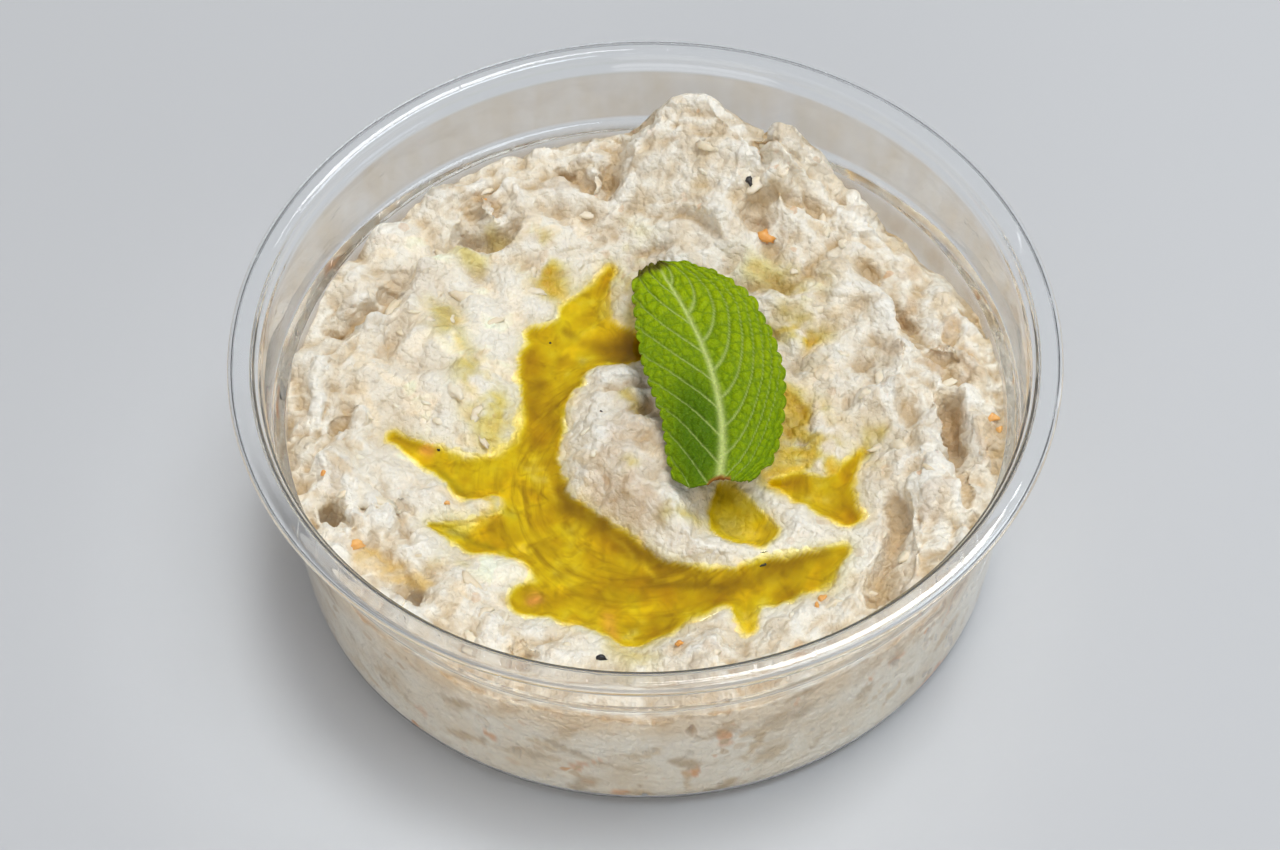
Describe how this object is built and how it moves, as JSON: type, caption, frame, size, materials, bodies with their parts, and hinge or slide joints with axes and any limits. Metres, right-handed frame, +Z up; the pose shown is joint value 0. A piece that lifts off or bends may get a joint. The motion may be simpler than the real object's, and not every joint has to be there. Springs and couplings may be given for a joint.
{
  "type": "tub of hummus",
  "caption": "Round clear deli tub filled with coarse, spoon-swirled hummus, with olive oil pooled in the swirl and a mint leaf laid on top",
  "frame": {"origin": "the centre of the tub's foot, on the surface it stands on", "axes": "+Z is up, +Y points away from the viewer, towards the high mound, and +X is to the viewer's right"},
  "size_m": [0.118, 0.118, 0.0405],
  "materials": {
    "clear_tub": "clear thin formed plastic, glossy, with fine scratches on the rim",
    "hummus": "cream dip, rough and moist, with tan shreds, orange flecks and black specks",
    "olive_oil": "golden olive oil, clear and wet",
    "mint": "fresh green leaf, softly quilted between pale veins"
  },
  "bodies": {
    "root": {"tub": "clear_tub", "hummus": "hummus", "oil_pool": "olive_oil", "oil_pocket_front": "olive_oil", "oil_pocket_side": "olive_oil", "mint_leaf": "mint"}
  },
  "joints": []
}
